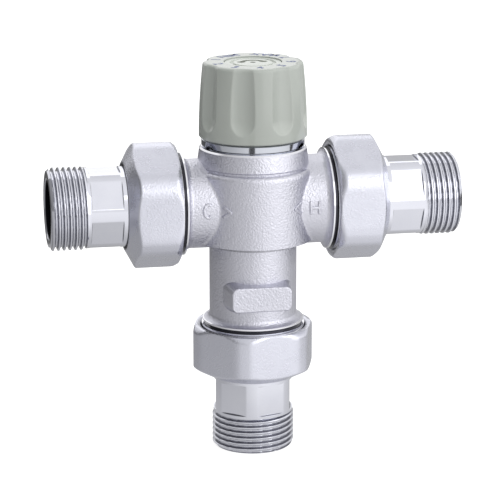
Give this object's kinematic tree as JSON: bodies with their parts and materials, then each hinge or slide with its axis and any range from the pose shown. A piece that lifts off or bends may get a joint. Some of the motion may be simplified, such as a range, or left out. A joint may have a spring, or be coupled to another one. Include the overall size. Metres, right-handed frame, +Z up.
{
  "type": "thermostatic mixing valve",
  "caption": "Three-way brass water mixing valve: grey temperature knob on top, two side inlets and a bottom outlet with hexagonal union nuts and male threaded tails.",
  "frame": {"origin": "centre of the outlet tail's end face", "axes": "+Z up the valve axis to the knob, +X towards the hot inlet, -X towards the cold inlet, -Y towards the front with the raised pad"},
  "size_m": [0.132, 0.0396, 0.1266],
  "materials": {
    "sandblasted_brass": "satin, sandblasted and chromed brass forging",
    "polished_brass": "polished chrome on turned brass",
    "turned_brass": "turned, bare",
    "spring_steel": "bright spring steel",
    "strainer_steel": "stainless sheet",
    "element_copper": "drawn copper alloy cup",
    "seal_rubber": "matt black",
    "gasket_fibre": "compressed fibre",
    "inner_plastic": "moulded acetal",
    "knob_plastic": "moulded, soft sheen",
    "cap_plastic": "moulded, soft sheen"
  },
  "bodies": {
    "valve": {"valve_body": "sandblasted_brass", "bonnet": "polished_brass", "bonnet_o_ring": "seal_rubber", "seat_ring": "turned_brass", "return_spring": "spring_steel", "cold_gasket": "gasket_fibre", "hot_gasket": "gasket_fibre", "outlet_gasket": "gasket_fibre", "cold_check_housing": "inner_plastic", "cold_check_o_ring": "seal_rubber", "cold_check_spring": "spring_steel", "hot_check_housing": "inner_plastic", "hot_check_o_ring": "seal_rubber", "hot_check_spring": "spring_steel"},
    "knob": {"control_knob": "knob_plastic", "knob_cap": "cap_plastic", "knob_screw": "spring_steel", "adjusting_spindle": "turned_brass", "spindle_o_ring_lower": "seal_rubber", "spindle_o_ring_upper": "seal_rubber", "spindle_circlip": "spring_steel"},
    "adjuster": {"regulating_nut": "turned_brass", "cup_retaining_ring": "spring_steel", "push_cup": "turned_brass", "overtravel_spring": "spring_steel", "element_piston": "spring_steel"},
    "shutter_group": {"shutter": "inner_plastic", "shutter_o_ring": "seal_rubber", "wax_element": "element_copper"},
    "cold_poppet": {"cold_check_poppet": "inner_plastic"},
    "hot_poppet": {"hot_check_poppet": "inner_plastic"},
    "cold_tail": {"cold_tailpiece": "polished_brass", "cold_strainer": "strainer_steel"},
    "hot_tail": {"hot_tailpiece": "polished_brass", "hot_strainer": "strainer_steel"},
    "outlet_tail": {"outlet_tailpiece": "polished_brass"},
    "cold_nut": {"cold_union_nut": "sandblasted_brass"},
    "hot_nut": {"hot_union_nut": "sandblasted_brass"},
    "outlet_nut": {"outlet_union_nut": "sandblasted_brass"}
  },
  "joints": [
    {"name": "knob_turn", "type": "hinge", "parent": "valve", "child": "knob", "pos_m": [0, 0, 0.1113], "axis": [0, 0, 1], "range_deg": [-150, 150]},
    {"name": "adjuster_slide", "type": "slide", "parent": "valve", "child": "adjuster", "axis": [0, 0, 1], "range_m": [-0.00125, 0.00125]},
    {"name": "wax_expansion", "type": "slide", "parent": "adjuster", "child": "shutter_group", "axis": [0, 0, -1], "range_m": [0, 0.0012], "stiffness_N_per_m": 2500, "springref_m": -0.004, "deforming": ["return_spring"]},
    {"name": "cold_check_slide", "type": "slide", "parent": "valve", "child": "cold_poppet", "axis": [1, 0, 0], "range_m": [0, 0.0028], "stiffness_N_per_m": 120, "springref_m": -0.004, "deforming": ["cold_check_spring"]},
    {"name": "hot_check_slide", "type": "slide", "parent": "valve", "child": "hot_poppet", "axis": [-1, 0, 0], "range_m": [0, 0.0028], "stiffness_N_per_m": 120, "springref_m": -0.004, "deforming": ["hot_check_spring"]},
    {"name": "cold_tail_slide", "type": "slide", "parent": "valve", "child": "cold_tail", "axis": [-1, 0, 0], "range_m": [0, 0.0092]},
    {"name": "cold_nut_turn", "type": "hinge", "parent": "cold_tail", "child": "cold_nut", "pos_m": [-0.034, 0, 0.0813], "axis": [1, 0, 0], "range_deg": [0, 1434.5]},
    {"name": "hot_tail_slide", "type": "slide", "parent": "valve", "child": "hot_tail", "axis": [1, 0, 0], "range_m": [0, 0.0092]},
    {"name": "hot_nut_turn", "type": "hinge", "parent": "hot_tail", "child": "hot_nut", "pos_m": [0.034, 0, 0.0813], "axis": [-1, 0, 0], "range_deg": [0, 1434.5]},
    {"name": "outlet_tail_slide", "type": "slide", "parent": "valve", "child": "outlet_tail", "axis": [0, 0, -1], "range_m": [0, 0.0092]},
    {"name": "outlet_nut_turn", "type": "hinge", "parent": "outlet_tail", "child": "outlet_nut", "pos_m": [0, 0, 0.032], "axis": [0, 0, 1], "range_deg": [0, 1434.5]}
  ],
  "couplings": [
    {"joint": "knob_turn", "follows": "adjuster_slide", "rad_per_m": 2094.4},
    {"joint": "cold_nut_turn", "follows": "cold_tail_slide", "rad_per_m": 2721.2},
    {"joint": "hot_nut_turn", "follows": "hot_tail_slide", "rad_per_m": 2721.2},
    {"joint": "outlet_nut_turn", "follows": "outlet_tail_slide", "rad_per_m": 2721.2}
  ]
}
